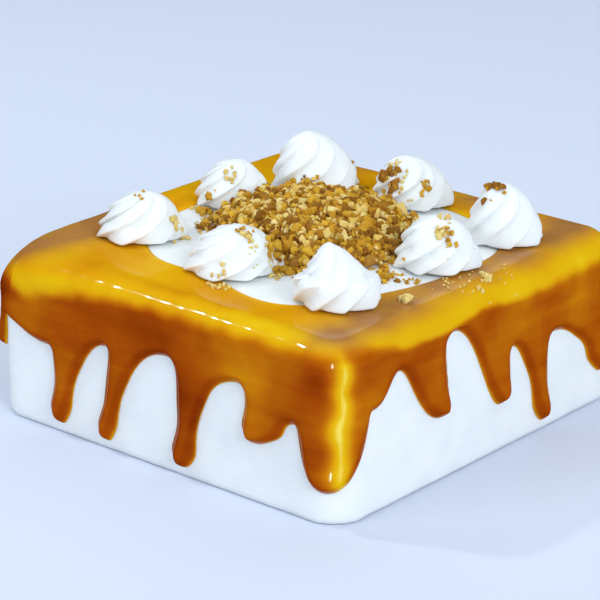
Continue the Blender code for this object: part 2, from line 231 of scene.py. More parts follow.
# The knots of the glaze's lower edge along each face, the drips' tips and the arches of bare cream in
# turn: the place where the stream starts at the top of the side, the knot's height over the floor, how
# far the edge runs level before and after it, and the stream's lean, sideways over downwards.
FRONT, RIGHT, BACK, LEFT = range(4)
DRIPS = {
    FRONT: (
        (-96, 34, 5, 5, -0.05), (-87, 51, 4, 2, -0.1), (-56.5, 39.5, 18, 6, -0.2), (-46, 5, 8.5, 8.5, -0.14),
        (-22, 47.5, 18, 6, -0.28), (-14.5, 4.5, 7.5, 7, -0.2), (12, 52, 27, 12.5, -0.28),
        (28, 4.5, 8.5, 9, -0.2), (47, 50.5, 22, 8, -0.08), (57, 26.5, 8, 8.5, -0.06), (76, 40.5, 5.5, 3, 0),
        (93, 14, 12.5, 13.5, 0),
    ),
    RIGHT: (
        (-79, 46, 2, 9, 0), (-63, 58, 5, 7, 0.09), (-43.5, 29, 10.5, 12, 0.25), (-28, 64.3, 13, 15.5, 0.23),
        (-0.5, 22, 10.5, 10, 0.15), (10, 45.5, 5, 10, 0.2), (31.5, 5, 9, 7, 0.1), (40.5, 43.5, 9, 21, 0.18),
        (80, 15, 7, 8, 0.03), (94, 45, 5, 5, 0),
    ),
}
HIDDEN_DRIPS = 12  # round the two faces behind
HIDDEN_TIPS, HIDDEN_ARCHES = (5 * MM, 32 * MM), (42 * MM, 56 * MM)
HIDDEN_REACH = (7 * MM, 11 * MM)
HIDDEN_SHIFT, HIDDEN_LEAN = 3 * MM, 0.2
OUTLINE_STEP = 1.4 * MM  # between points along the glaze's lower edge
FLANK_CURVE = 1.1  # about how much longer that edge is than the straight line between two knots
FAN_REACH = 11  # points over which the streams above the drips even out
TOP_ROWS, SHOULDER_ROWS, SIDE_ROWS = 10, 12, 36
TOP_GATHER = 1.4  # more packs the rows closer to the inner rim
EDGE_GATHER = 1.5  # more packs the rows closer to the drips' edge
UNDER_SHOULDER_ROWS = 3
UNDER_SHARES = (0, 0.35, 0.6, 0.8, 0.93)  # the underside's rows, as shares of the way down the side
LAP = 1 * MM  # how far the glaze laps over the bare cream
SUNK = 0.4 * MM  # how far its underside lies in the cream
TOP_THICKNESS, SIDE_THICKNESS = 2.3 * MM, 1.9 * MM
EDGE_ROUND, EDGE_CURVE = 4.2 * MM, 0.7  # width of the rounded edge, and the power that gives its curve
# The bulge at a drip's tip: its thickness, its height over the tip, its reach up and down, and its reach
# to the sides, as a share of the drip's width.
TIP_BULGE, TIP_RISE, TIP_REACH, TIP_SHARE = 2 * MM, 5 * MM, 6 * MM, 0.36
# A narrow drip ends in a drop: each entry is a height over the tip, the reach up and down, and how much
# wider (more than 0) or narrower the drip is there, as a share of its width.
DROP = ((6 * MM, 5.5 * MM, 0.24), (20 * MM, 8 * MM, -0.16))
DROP_FADE = (1.4, 0.6)  # widths from the drip's middle where that starts, and where it is full
NARROW = 18 * MM  # how far the lowest edge of such a drip runs at most, both ways together
STREAM_BULGE = 1.1 * MM
STREAM_FLANK = (1 * MM, 7 * MM)  # from the lower edge, between these the bulge swells
STREAM_HEIGHTS = (62 * MM, 38 * MM)  # between these the coat gathers into streams
BEAD, BEAD_PLACE, BEAD_REACH = 0.4 * MM, 2.5 * MM, 2 * MM  # the thicker seam along the lower edge
RIPPLE, RIPPLE_SIZE = 0.6 * MM, (9 * MM, 24 * MM)

# Below its fold the coat is thick and brown. Each entry is a place along a face, the fold's height over
# the floor and how softly the one tone passes into the other there.
FOLDS = {
    FRONT: (
        (-98, 69, 4), (-86, 66, 4), (-72, 62, 5), (-50, 66, 4), (-20, 69.5, 3), (20, 71, 3), (50, 71.5, 3),
        (85, 72, 3),
    ),
    RIGHT: (
        (-90, 73, 3), (-57, 67.5, 2), (-38, 66.5, 1.5), (-10, 68.5, 1.5), (13, 66.5, 2), (31, 65.5, 2.5),
        (50, 66, 3), (75, 66.5, 3),
    ),
    BACK: ((-60, 66, 5), (0, 69, 3), (60, 65, 5)),
    LEFT: ((-60, 67, 4), (10, 64, 3), (70, 68, 5)),
}
FOLD_WAVER, FOLD_WAVER_SIZE = 0.9 * MM, 11 * MM
FOLD_BULGE = 0.25 * MM
TOP_FOLD = -2  # how far below the fold the top counts as lying, in shares of the fold's softness
FLAT_REACH = 8 * MM  # how far in from the shoulder the top has its full look
BAND = (4 * MM, 10 * MM)  # how far above the fold the yellow band ends
POOL_DEPTH = 0.16  # how much deeper in tone the top's pooled sauce is
RIM_CLEARNESS, RIM_REACH = 0.12, 3 * MM  # how much clearer it is along the inner rim
# Where a side is clearer (less than 0) or darker than the rest: face, place, height, reach and amount.
SIDE_SPOTS = (
    (FRONT, -98, 66, 9, 0.25), (FRONT, -93, 72, 12, 0.14), (FRONT, -80, 50, 9, -0.12),
    (FRONT, -5, 61, 22, 0.12), (FRONT, 48, 56, 20, -0.17), (RIGHT, 2, 28, 22, -0.05),
    (RIGHT, 33, 22, 18, -0.03), (FRONT, 88, 62, 6, 0.25), (FRONT, 20, 42, 12, 0.1),
    (RIGHT, -80, 52, 10, -0.15), (RIGHT, 15, 56, 14, -0.08), (RIGHT, 60, 56, 12, -0.15),
    (BACK, -30, 55, 16, -0.25), (BACK, 40, 60, 14, 0.15), (LEFT, -20, 58, 16, -0.2),
    (LEFT, 50, 50, 14, 0.12),
)
# The sauce runs off the upright corners, which are clearer: by how much, how far to each side, how far
# that line strays and in patches of what size, and how far below the top it is at its full clearness.
CORNER_CLEARNESS, CORNER_REACH = 0.55, 4 * MM
CORNER_WAVER, CORNER_WAVER_SIZE = 5 * MM, (30 * MM, 14 * MM)
CORNER_FADE = 8 * MM
PAINTED_HIGHLIGHT, PAINTED_HIGHLIGHT_REACH = 0.14, 1.2 * MM  # a painted highlight: a pale line down the middle of the front corner
# Where the top carries a painted sheen, a dull colour in place of a reflection: the place and how far it
# reaches.
SHEEN_SPOTS = (
    (-90, -82, 20), (-84, -58, 18), (-92, -54, 20), (-88, -32, 15), (86, -86, 11), (85, -64, 12),
    (83, -42, 13), (82, -18, 12), (84, 6, 9), (84, 34, 14), (84, 60, 11), (80, 82, 15), (30, 90, 14),
    (-60, 86, 14),
)
SHEEN_HEIGHTS = (CAKE_HEIGHT - 4 * MM, CAKE_HEIGHT + 1 * MM)  # between these the painted sheen comes on
# What the glaze's points carry for its material: how far below the fold they lie, how far from the lower
# edge, how much deeper the sauce is than usual, a painted highlight among it, and its painted sheen.
LOOKS = ("fold", "edge", "extra", "tan")
FAR = 1  # any distance from the lower edge at which it no longer shows
SEAM_PLACE, SEAM_REACH = 2.2 * MM, 1.8 * MM  # where the thicker seam looks darker
FILM = 0.6 * MM  # how wide the clear film is where the sauce meets the cream
# The sauce's colour, from a film over white cream to the thickest drip.
GLAZE_TONES = (
    (0, (0.93, 0.72, 0.13)),
    (0.18, (0.78, 0.47, 0.006)),
    (0.38, (0.72, 0.35, 0.004)),
    (0.6, (0.55, 0.165, 0.003)),
    (0.8, (0.38, 0.066, 0.002)),
    (1, (0.23, 0.027, 0.001)),
)
# The colour of the painted sheen.
SHEEN_COLOUR = (0.39, 0.17, 0.045, 1)

HALF_FLAT = HALF - CORNER_RADIUS
ARC = math.pi / 2 * CORNER_RADIUS
FACE_RUN = 2 * HALF_FLAT + ARC
PERIMETER = 4 * FACE_RUN


def lerp(a, b, share):
    """The value at this share of the way from a to b."""
    return a + (b - a) * share


def settled(point):
    """The point as it lies on the real cake, whose top is crowned, a little higher at the back left and
    slumped at the left front corner."""
    across, along = point[0] / HALF, point[1] / HALF
    crown = CROWN * max(0, 1 - across**2) * max(0, 1 - along**2)
    rise = crown + BACK_RISE * along - LEFT_RISE * across
    from_corner = math.hypot(point[0] + HALF, point[1] + HALF)
    rise -= SLUMP * math.exp(-((from_corner / SLUMP_REACH) ** 2))
    return Vector((point[0], point[1], point[2] * (1 + rise / CAKE_HEIGHT)))


def run_of(face, place):
    """The distance along the outline to a place on a face, from -HALF to HALF, corners included."""
    beyond = max(0, abs(place) - HALF_FLAT) / CORNER_RADIUS * ARC / 2
    on_flat = max(-HALF_FLAT, min(HALF_FLAT, place))
    return face * FACE_RUN + HALF_FLAT + on_flat + math.copysign(beyond, place)


def outline(run, inset=0):
    """The point of the cake's plan outline at this run, moved inwards by inset."""
    face, along = divmod(run % PERIMETER, FACE_RUN)
    if along <= 2 * HALF_FLAT:
        x, y = along - HALF_FLAT, inset - HALF
    else:
        angle = (along - 2 * HALF_FLAT) / CORNER_RADIUS
        x = HALF_FLAT + (CORNER_RADIUS - inset) * math.sin(angle)
        y = -HALF_FLAT - (CORNER_RADIUS - inset) * math.cos(angle)
    for _ in range(int(face)):
        x, y = -y, x
    return Vector((x, y))


def away_from(run, place):
    """How far apart two runs are, the shorter way round."""
    return abs((run - place + PERIMETER / 2) % PERIMETER - PERIMETER / 2)


def shoulder(run):
    """The radius of the top edge, which is softest at the right back corner and at the left front one."""
    radius = SHOULDER_RADIUS
    for corner, share in ((run_of(RIGHT, HALF), 1), (run_of(FRONT, -HALF), SOFT_SHARE)):
        away = away_from(run, corner)
        if away < SOFT_REACH:
            radius += share * SOFT_SHOULDER * math.cos(away / SOFT_REACH * math.pi / 2) ** 2
    return radius


def rim_distance(rim, angle):
    """The distance from a rim's centre at this angle, smoothly through the rim's evenly spaced values."""
    step = 2 * math.pi / len(rim)
    index, share = divmod(angle % (2 * math.pi) / step, 1)
    before, start, end, after = (rim[(int(index) + k) % len(rim)] for k in (-1, 0, 1, 2))
    linear = (end - before) / 2
    square = before - 2.5 * start + 2 * end - after / 2
    cubic = 1.5 * (start - end) + (after - before) / 2
    return start + share * (linear + share * (square + share * cubic))


def drip_knots():
    """Every knot round the cake: its run at the top of the side, its height, its level reach before and
    after, and its lean."""
    knots = []
    for face, line in DRIPS.items():
        for place, height, before, after, lean in line:
            knots.append((run_of(face, place * MM), height * MM, before * MM, after * MM, lean))
    rng = random.Random(3)
    last = knots[-1][0]
    pitch = (knots[0][0] + PERIMETER - last) / (2 * HIDDEN_DRIPS + 1)
    for i in range(2 * HIDDEN_DRIPS):
        height = rng.uniform(*(HIDDEN_ARCHES if i % 2 else HIDDEN_TIPS))
        run = last + (i + 1) * pitch + rng.uniform(-HIDDEN_SHIFT, HIDDEN_SHIFT)
        before, after = (rng.uniform(*HIDDEN_REACH) for _ in range(2))
        knots.append((run, height, before, after, rng.uniform(-HIDDEN_LEAN, HIDDEN_LEAN)))
    return knots


def bezier(handles, t):
    """The value at t, from 0 to 1, of the cubic Bezier curve with these four handles."""
    weights = ((1 - t) ** 3, 3 * t * (1 - t) ** 2, 3 * t**2 * (1 - t), t**3)
    return sum(weight * value for weight, value in zip(weights, handles))


def flank(start, end):
    """Points along the glaze's lower edge from one knot up to, not including, the next, each as the run
    where its stream starts, its own run and its height."""
    span = end[0] - start[0]
    runs = (start[0], start[0] + start[3], end[0] - end[2], end[0])
    heights = (start[1], start[1], end[1], end[1])
    steps = math.ceil(FLANK_CURVE * math.hypot(span, end[1] - start[1]) / OUTLINE_STEP)
    points = []
    for i in range(steps):
        root, height = bezier(runs, i / steps), bezier(heights, i / steps)
        lean = lerp(start[4], end[4], (root - start[0]) / span)
        points.append((root, root + lean * (CAKE_HEIGHT - SHOULDER_RADIUS - height), height))
    return points


knots = drip_knots()
next_knots = knots[1:] + [(knots[0][0] + PERIMETER, *knots[0][1:])]
drip_edge = []
tips = []  # each drip's tip: its run, its height, how far the edge runs level there, and the lean
for before, start, end in zip(knots[-1:] + knots, knots, next_knots):
    side = flank(start, end)
    drip_edge += side
    if start[1] < before[1] and start[1] < end[1]:
        tips.append((side[0][1], start[1], start[2] + start[3], start[4]))
columns = len(drip_edge)
fan = []
for i in range(columns):
    around = [divmod(i + k, columns) for k in range(-FAN_REACH, FAN_REACH + 1)]
    fan.append(sum(drip_edge[at][0] + PERIMETER * laps for laps, at in around) / len(around))

edge_tree = kdtree.KDTree(3 * columns)
for lap in (-1, 0, 1):
    for i, (_, run, height) in enumerate(drip_edge):
        edge_tree.insert((run + lap * PERIMETER, height, 0), i)
edge_tree.balance()
folds = [(run_of(face, x * MM), z * MM, soft * MM) for face, line in FOLDS.items() for x, z, soft in line]
side_spots = [(run_of(face, x * MM), z * MM, reach * MM, amount) for face, x, z, reach, amount in SIDE_SPOTS]
sheen_spots = [(Vector((x, y)) * MM, reach * MM) for x, y, reach in SHEEN_SPOTS]


def rounded(distance):
    """How full the glaze is at this distance from its edge, from 0 to 1."""
    return math.sin(math.pi / 2 * min(distance / EDGE_ROUND, 1)) ** EDGE_CURVE


def smooth(low, high, value):
    """Rises softly from 0 to 1 as the value goes from low to high."""
    share = max(0, min(1, (value - low) / (high - low)))
    return share * share * (3 - 2 * share)


def round_noise(run, height, run_size, height_size, seed):
    """Noise round the cake's sides, whose patches have this size along the run and in height."""
    angle, radius = run / PERIMETER * math.tau, PERIMETER / math.tau / run_size
    x, y = radius * math.cos(angle) + seed, radius * math.sin(angle)
    return noise.noise(Vector((x, y, height / height_size)))


def ripple(run, height):
    """Soft uneven runs, long down the sides and short along them."""
    return RIPPLE * round_noise(run, height, *RIPPLE_SIZE, seed=0)


def fold_line(run):
    """The fold's height over the floor, and its softness."""
    run %= PERIMETER
    before, after = folds[-1], folds[0]
    for this in folds:
        if this[0] > run:
            after = this
            break
        before = this
    share = smooth(0, (after[0] - before[0]) % PERIMETER, (run - before[0]) % PERIMETER)
    line, softness = (lerp(before[k], after[k], share) for k in (1, 2))
    return line + FOLD_WAVER * round_noise(run, 0, FOLD_WAVER_SIZE, 1, seed=5), softness


def fold(run, height):
    """How far below the fold a point of the sides lies, in shares of the fold's softness. Above the fold the
    sauce lies thin and yellow, and below it thicker and brown."""
    line, softness = fold_line(run)
    return (line - height) / softness


def pooled(run, height, inwards):
    """How far the sauce has pooled amber, from 0 to 1: not on the yellow band above the fold, but beyond it,
    on the top."""
    radius = shoulder(run)
    climb = inwards
    for level, sign in ((height, 1), (fold_line(run)[0], -1)):
        beyond = level - CAKE_HEIGHT + radius
        climb += sign * (beyond if beyond < 0 else radius * math.asin(min(1, beyond / radius)))
    return smooth(*BAND, climb)


def folded(run, height):
    """The extra thickness of the soft fold where the thicker coat starts."""
    return FOLD_BULGE * math.exp(-((fold(run, height) - 1) ** 2))


def side_thickness(run, height):
    """How thick the glaze is on a side, and how far that is from its lower edge."""
    distance = edge_tree.find((run, height, 0))[2]
    seam = (distance - BEAD_PLACE) / BEAD_REACH
    full = SIDE_THICKNESS + BEAD * math.exp(-(seam**2)) + ripple(run, height)
    full += folded(run, height)
    full += STREAM_BULGE * smooth(*STREAM_FLANK, distance) * smooth(*STREAM_HEIGHTS, height)
    for tip_run, tip_height, width, _ in tips:
        aside = away_from(run, tip_run)
        if aside < width:
            above = (height - tip_height - TIP_RISE) / TIP_REACH
            full += TIP_BULGE * math.exp(-((aside / (TIP_SHARE * width)) ** 2) - above**2)
    return full * rounded(distance), distance


def hanging(run, height):
    """The run once the drips' ends have gathered into drops."""
    for tip_run, tip_height, width, lean in tips:
        above = height - tip_height
        aside = (run - tip_run + lean * above + PERIMETER / 2) % PERIMETER - PERIMETER / 2
        outer, inner = (share * width for share in DROP_FADE)
        if width < NARROW and abs(aside) < outer:
            widened = sum(share * math.exp(-(((above - level) / up) ** 2)) for level, up, share in DROP)
            run += aside * widened * smooth(outer, inner, abs(aside))
    return run


def painted_sheen(place):
    """How much painted sheen lies there, from 0 to 1."""
    return min(1, sum(math.exp(-(((place - spot).length / reach) ** 2)) for spot, reach in sheen_spots))


def top_look(run, place, inwards, from_rim):
    """What LOOKS names, for the top. Its fold goes on down by 1 to where the top is flat, and the sauce is
    thin, so yellow, along its inner rim."""
    extra = POOL_DEPTH * pooled(run, CAKE_HEIGHT, inwards)
    extra -= RIM_CLEARNESS * math.exp(-((from_rim / RIM_REACH) ** 2))
    return TOP_FOLD - smooth(0, FLAT_REACH, inwards), FAR, extra, painted_sheen(place)


def side_look(run, height, distance, place):
    """What LOOKS names, for the shoulder and the sides."""
    extra = POOL_DEPTH * pooled(run, height, 0)
    for spot_run, spot_height, reach, amount in side_spots:
        apart = math.hypot(away_from(run, spot_run), height - spot_height)
        extra += amount * math.exp(-((apart / reach) ** 2))
    waver = CORNER_WAVER * round_noise(run, height, *CORNER_WAVER_SIZE, seed=9)
    clear = smooth(CAKE_HEIGHT, CAKE_HEIGHT - CORNER_FADE, height)
    for corner in (FRONT, RIGHT, BACK):
        apart = away_from(run + waver, run_of(corner, HALF))
        extra -= CORNER_CLEARNESS * clear * math.exp(-((apart / CORNER_REACH) ** 2))
        # Down the middle of the front corner runs a pale painted highlight.
        if corner == FRONT:
            extra -= PAINTED_HIGHLIGHT * clear * math.exp(-((apart / PAINTED_HIGHLIGHT_REACH) ** 2))
    # The painted sheen reaches over the top of the shoulder.
    tan = painted_sheen(place) * smooth(*SHEEN_HEIGHTS, height)
    return max(TOP_FOLD, fold(run, height)), distance, extra, tan


def glaze_column(i, side_shares, under):
    """One line of the glaze from its inner rim over the shoulder to the lower edge, as (point, look)
    pairs. The underside has no thickness, and fewer points."""
    run = fan[i]
    radius = shoulder(run)
    start = outline(run, radius)
    towards = (start - BARE_CENTRE).normalized()
    reach = rim_distance(BARE_RIM, math.atan2(towards.y, towards.x)) - LAP
    rim = BARE_CENTRE + towards * reach
    flat = (start - rim).length
    line = []
    for row in range(1 if under else TOP_ROWS):
        share = (row / TOP_ROWS) ** TOP_GATHER
        place = rim.lerp(start, share)
        if under:
            lift = -SUNK
        elif row == 0:
            lift = BARE_LIFT - SUNK
        else:
            lift = lerp(BARE_LIFT, TOP_THICKNESS, rounded(share * flat))
        look = top_look(run, place, (1 - share) * flat, share * flat)
        line.append((settled((place.x, place.y, CAKE_HEIGHT + lift)), look))
    top = CAKE_HEIGHT - radius
    rows = UNDER_SHOULDER_ROWS if under else SHOULDER_ROWS
    for row in range(rows):
        share = row / rows
        angle = math.pi / 2 * (1 - share)
        level = top + radius * math.sin(angle)
        lift = -SUNK
        if not under:
            lift = lerp(TOP_THICKNESS, SIDE_THICKNESS, share) + ripple(run, level) * share
            lift += folded(run, level)
        place = outline(run, radius - (radius + lift) * math.cos(angle))
        height = top + (radius + lift) * math.sin(angle)
        line.append((settled((place.x, place.y, height)), side_look(run, level, FAR, place)))
    for share in side_shares:
        at_run = lerp(run, drip_edge[i][1], share)
        height = lerp(top, drip_edge[i][2], share)
        thickness, distance = (-SUNK, FAR) if under else side_thickness(at_run, height)
        place = outline(hanging(at_run, height), -thickness)
        line.append((settled((place.x, place.y, height)), side_look(at_run, height, distance, place)))
    return line


side_shares = [1 - (1 - row / SIDE_ROWS) ** EDGE_GATHER for row in range(SIDE_ROWS + 1)]
rings = []
looks = []
for i in range(columns):
    over = glaze_column(i, side_shares, under=False)
    below = glaze_column(i, UNDER_SHARES, under=True)
    line = over + below[::-1]
    rings.append([point for point, _ in line])
    looks += [look for _, look in line]
rows = len(rings[0])
faces = []
for i in range(columns):
    for j in range(rows):
        k, m = (i + 1) % columns * rows, (j + 1) % rows
        faces.append((i * rows + j, i * rows + m, k + m, k + j))


def glaze_material():
    """Butterscotch: a clear glossy sauce, yellow where it lies thin over the cream, amber and then brown
    as it gets thicker. Over spots of the top it carries a painted sheen, a duller colour, and is rougher
    there."""
    material, wire, shader = new_material("butterscotch glaze", {
        "Specular IOR Level": 0,
        "Coat Roughness": 0.08,
        "Subsurface Weight": 0.2,
        "Subsurface Scale": 3 * MM,
        "Subsurface Radius": (1, 0.35, 0.05),
    })
    place = wire.node("TexCoord", output="Object")
    fold_share, edge, extra, tan = (
        wire.node("Attribute", {"attribute_name": look}, output="Fac") for look in LOOKS
    )
    patches = wire.node("TexNoise", None, {"Vector": place, "Scale": 28, "Detail": 3, "Roughness": 0.6})
    stretched = wire.node("Mapping", None, {"Vector": place, "Scale": (25, 25, 260)})
    lines = wire.node("TexNoise", None, {"Vector": stretched, "Scale": 1, "Detail": 2})
    below = wire.node("MapRange", {"interpolation_type": "SMOOTHSTEP"}, {
        "Value": fold_share + (patches - 0.5) * 1.1, "From Min": -1, "From Max": 1,
    })
    flat = wire.maths("SUBTRACT", TOP_FOLD, fold_share, clamp=True)
    seam = (edge - SEAM_PLACE) / SEAM_REACH
    bead = wire.maths("EXPONENT", seam * seam * -1)
    rim = edge / FILM
    contact = wire.maths("EXPONENT", rim * rim * -1)
    tone = 0.27 + below * 0.5 + bead * 0.1 - contact * 0.4 + extra
    tone = tone + (patches - 0.5) * 0.42 + (lines - 0.5) * (below * 0.1 + 0.06)
    clear = wire.node("ValToRGB", {"stops": GLAZE_TONES}, {0: tone})
    # A painted sheen: in patches the glaze's colour gives way to a dull one, where a reflection would lie.
    sheen_mask = wire.maths("MULTIPLY", tan, patches * 2.2, clamp=True)
    colour = wire.node("Mix", {"data_type": "RGBA"}, {0: sheen_mask, 6: clear, 7: SHEEN_COLOUR}, output=2)
    feed(shader, "Base Color", colour)
    feed(shader, "Roughness", 0.15 + patches * 0.2 + sheen_mask * 0.2)
    feed(shader, "Coat Weight", 0.5 - flat * 0.4)
    return material


mesh = bpy.data.meshes.new("glaze")
mesh.from_pydata([point for line in rings for point in line], [], faces)
for look, values in zip(LOOKS, zip(*looks)):
    mesh.attributes.new(look, "FLOAT", "POINT").data.foreach_set("value", values)
poured_glaze = new_piece("poured_glaze", mesh, glaze_material())
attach(poured_glaze, "root")
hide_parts("glaze")

# ----------------------------------------------------------------------------------------------------
# The rosettes. Each is piped in one go through a star nozzle, turning as it goes up: broad ribs with
# sharp creases between them, which sweep round from pointed feet to a soft leaning top.

# A rib's outline, as shares of its width and of the rosette's radius, from one crease to the next: it
# swells slowly to a ridge and drops steeply from it.
RIB = ((0, 0.84), (0.1, 0.865), (0.32, 0.925), (0.56, 0.97), (0.78, 1), (0.87, 0.995), (0.95, 0.92))
RIDGE = (4, 5)  # the points of RIB on its ridge
# The rosette's outline from the foot up, as shares of its radius and height.
DOME = (
    (0.97, 0), (1, 0.06), (1, 0.14), (0.99, 0.24), (0.96, 0.34), (0.91, 0.44), (0.84, 0.54), (0.75, 0.64),
    (0.65, 0.74), (0.53, 0.83), (0.39, 0.91), (0.21, 0.965),
)
TIERED = (
    (0.97, 0), (1, 0.07), (1, 0.18), (1, 0.3), (0.985, 0.4), (0.93, 0.445), (0.79, 0.465), (0.71, 0.5),
    (0.68, 0.56), (0.6, 0.64), (0.49, 0.73), (0.37, 0.82), (0.24, 0.9), (0.12, 0.955),
)
LOW_TIER = (
    (0.97, 0), (1, 0.08), (1, 0.19), (0.97, 0.3), (0.89, 0.37), (0.85, 0.43), (0.83, 0.5), (0.78, 0.6),
    (0.69, 0.7), (0.57, 0.8), (0.42, 0.89), (0.23, 0.955),
)
ROSETTE_TWIST = math.radians(125)
FOOT_FLARE, FLARE_TOP = 0.07, 0.3  # how far the ridges run out in points, and up to what share of the height
UNEVEN_TURN, UNEVEN_REACH = 0.12, 0.035  # shares of a rib's width and of the radius
PIPED_PATCH, PIPED_DEPTH = 7 * MM, 0.7 * MM  # the soft unevenness of piped cream
# Each rosette: its foot's centre, radius, height, outline, ribs, turn and the way its top leans.
ROSETTES = (
    (Vector((63, -57)) * MM, 17.5 * MM, 25 * MM, TIERED, 8, -2, Vector((-3, -2.5)) * MM),
    (Vector((5, -55)) * MM, 20.7 * MM, 19 * MM, LOW_TIER, 7, 50, Vector((1, 1)) * MM),
    (Vector((-55, -48)) * MM, 19.5 * MM, 20 * MM, LOW_TIER, 7, 5, Vector((1, 1)) * MM),
    (Vector((-56, 11)) * MM, 17.5 * MM, 20 * MM, DOME, 7, 22, Vector((1, 1)) * MM),
    (Vector((-41, 52)) * MM, 20.3 * MM, 26.5 * MM, DOME, 8, 0, Vector((-3, -2)) * MM),
    (Vector((7, 63)) * MM, 18.5 * MM, 21.5 * MM, DOME, 8, 15, Vector((-2, -2)) * MM),
    (Vector((69, 47)) * MM, 17 * MM, 25.5 * MM, DOME, 7, 28, Vector((-1, -1)) * MM),
    (Vector((67, 3)) * MM, 18.7 * MM, 21.5 * MM, LOW_TIER, 8, 12, Vector((-1, 0)) * MM),
)
piped_cream = cream_material("piped cream", lines=False)


def turn(angle, middle):
    """Turns what is selected counter-clockwise about the upright through middle."""
    bpy.ops.transform.rotate(value=-angle, orient_axis="Z", center_override=middle)


def widen(factor, middle):
    """Scales what is selected away from the upright through middle."""
    bpy.ops.transform.resize(value=(factor, factor, 1), center_override=middle)


def pick_points(piece, ring, wanted):
    """Selects the points of the ring whose number round it is wanted."""
    shape = bmesh.from_edit_mesh(piece.data)
    number = shape.verts.layers.int["number"]
    shape.verts.ensure_lookup_table()
    bpy.ops.mesh.select_all(action="DESELECT")
    for index in ring:
        shape.verts[index].select = wanted(shape.verts[index][number])
    shape.select_flush(True)


def flare(rise):
    """How much further out the ridges stand at this share of the height."""
    return 1 + FOOT_FLARE * max(0, 1 - rise / FLARE_TOP) ** 2


def pipe_rosette(number, centre, radius, height, profile, ribs, start, lean):
    """Pipes one rosette: a star-shaped foot, extruded ring by ring with a turn and a change of width."""
    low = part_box(f"rosette_{number}")[0].z
    middle = Vector((centre.x, centre.y, low))
    count = ribs * len(RIB)
    bpy.ops.object.select_all(action="DESELECT")
    bpy.ops.mesh.primitive_circle_add(vertices=count, radius=radius, fill_type="NGON", location=middle)
    piece = bpy.context.object
    piece.name = piece.data.name = f"piped_rosette_{number}"
    bpy.ops.object.transform_apply(location=True)
    bpy.ops.object.mode_set(mode="EDIT")
    bpy.ops.mesh.select_mode(type="VERT")
    foot = bmesh.from_edit_mesh(piece.data)
    layer = foot.verts.layers.int.new("number")
    around = sorted(foot.verts, key=lambda vert: math.atan2(vert.co.y - middle.y, vert.co.x - middle.x))
    for k, vert in enumerate(around):
        vert[layer] = k
    ring = range(count)
    for k, (width, reach) in enumerate(RIB):
        pick_points(piece, ring, lambda point: point % len(RIB) == k)
        turn((width - k / len(RIB)) * math.tau / ribs, middle)
        widen(reach * (flare(0) if k in RIDGE else 1), middle)
    rng = random.Random(number)
    for rib in range(ribs):
        pick_points(piece, ring, lambda point: point // len(RIB) == rib)
        turn(rng.uniform(-UNEVEN_TURN, UNEVEN_TURN) * math.tau / ribs, middle)
        widen(1 + rng.uniform(-UNEVEN_REACH, UNEVEN_REACH), middle)
    bpy.ops.mesh.select_all(action="SELECT")
    turn(math.radians(start), middle)
    widen(profile[0][0], middle)
    for (width, rise), (wider, higher) in zip(profile, profile[1:]):
        step = (*(lean * (higher**2 - rise**2)), (higher - rise) * height)
        bpy.ops.mesh.extrude_region_move(TRANSFORM_OT_translate={"value": step})
        axis = middle + Vector((*(lean * higher**2), higher * height))
        widen(wider / width, axis)
        turn(ROSETTE_TWIST * (higher - rise), axis)
        if rise < FLARE_TOP:
            ring = [vert.index for vert in bmesh.from_edit_mesh(piece.data).verts if vert.select]
            pick_points(piece, ring, lambda point: point % len(RIB) in RIDGE)
            widen(flare(higher) / flare(rise), axis)
            pick_points(piece, ring, lambda point: True)
    top = 1 - profile[-1][1]
    bpy.ops.mesh.extrude_region_move(TRANSFORM_OT_translate={"value": (0, 0, top * height)})
    bpy.ops.mesh.merge(type="CENTER")
    bpy.ops.object.mode_set(mode="OBJECT")
    finish(piece, "SUBSURF", levels=2, render_levels=2)
    roughen(piece, PIPED_PATCH, PIPED_DEPTH)
    piece.data.materials.append(piped_cream)
    bpy.ops.object.shade_smooth()
    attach(piece, "root")
    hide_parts(f"rosette_{number}")
    return piece


rosettes = [pipe_rosette(number, *size) for number, size in enumerate(ROSETTES, start=1)]

# ----------------------------------------------------------------------------------------------------
# The nut heap. Roasted peanuts set in caramel are chopped small and heaped inside the ring: golden,
# brown and pale pieces, with fine crumbs between them.

CORE_VOXEL, CORE_SMOOTHING = 1.3 * MM, 8
CORE_PATCH, CORE_DEPTH = 3 * MM, 1.2 * MM  # its unevenness, under the loose pieces
CORE_SHADES = ((0.42, 0.2, 0.03), (0.25, 0.09, 0.012))
HEAP_CENTRE = Vector((-4, 4)) * MM
HEAP_SPILL = [reach * MM for reach in (50, 44, 42, 38, 40, 42, 36, 43, 37, 40, 52, 60)]  # every 30 degrees
HEAP_THINNING, HEAP_END = 0.93, 1.15  # shares of the spill between which the heap thins out
HEAP_RAGGEDNESS, RAGGED_SIZE = 0.25, 9 * MM  # how far those shares stray, and in patches of what size
CLEARANCE = 0.9  # the heap's nuts keep this share of a rosette's radius from its middle
SHAPES = 16  # different chopped shapes
# A shape, about 1 across: how many strokes cut it and how far from its middle, its length, width and
# height, how far its edges are worn, and the shortest edge before and after that.
CUTS, CUT_PLACES = 6, (0.3, 0.5)
STRETCHES = ((0.8, 1.2), (0.7, 1.1), (0.6, 1))
WEAR = 0.07
SHORTEST_CUT, SHORTEST_WORN = 0.12, 0.03
CREASE = math.radians(35)  # edges bent by more than this stay sharp
FALL_HEIGHT = 0.2  # from where a nut is dropped
PERCH = 0.35  # how far its middle comes to rest over what it falls on, as a share of its size
NUT_SUNK, STREWN_SUNK = (-0.1, 0.4), 0.1  # how far it then sinks in the heap, and outside it
NUT_SIZES = (1.1 * MM, 4.8 * MM, 1.8 * MM)  # smallest, largest, most usual
# Each kind: how many, and its colours from light to dark.
KINDS = {
    "golden": (2200, ((0.70, 0.41, 0.035), (0.46, 0.21, 0.014))),
    "brown": (1500, ((0.42, 0.19, 0.018), (0.22, 0.08, 0.009))),
    "pale": (1200, ((0.84, 0.67, 0.27), (0.68, 0.45, 0.10))),
}
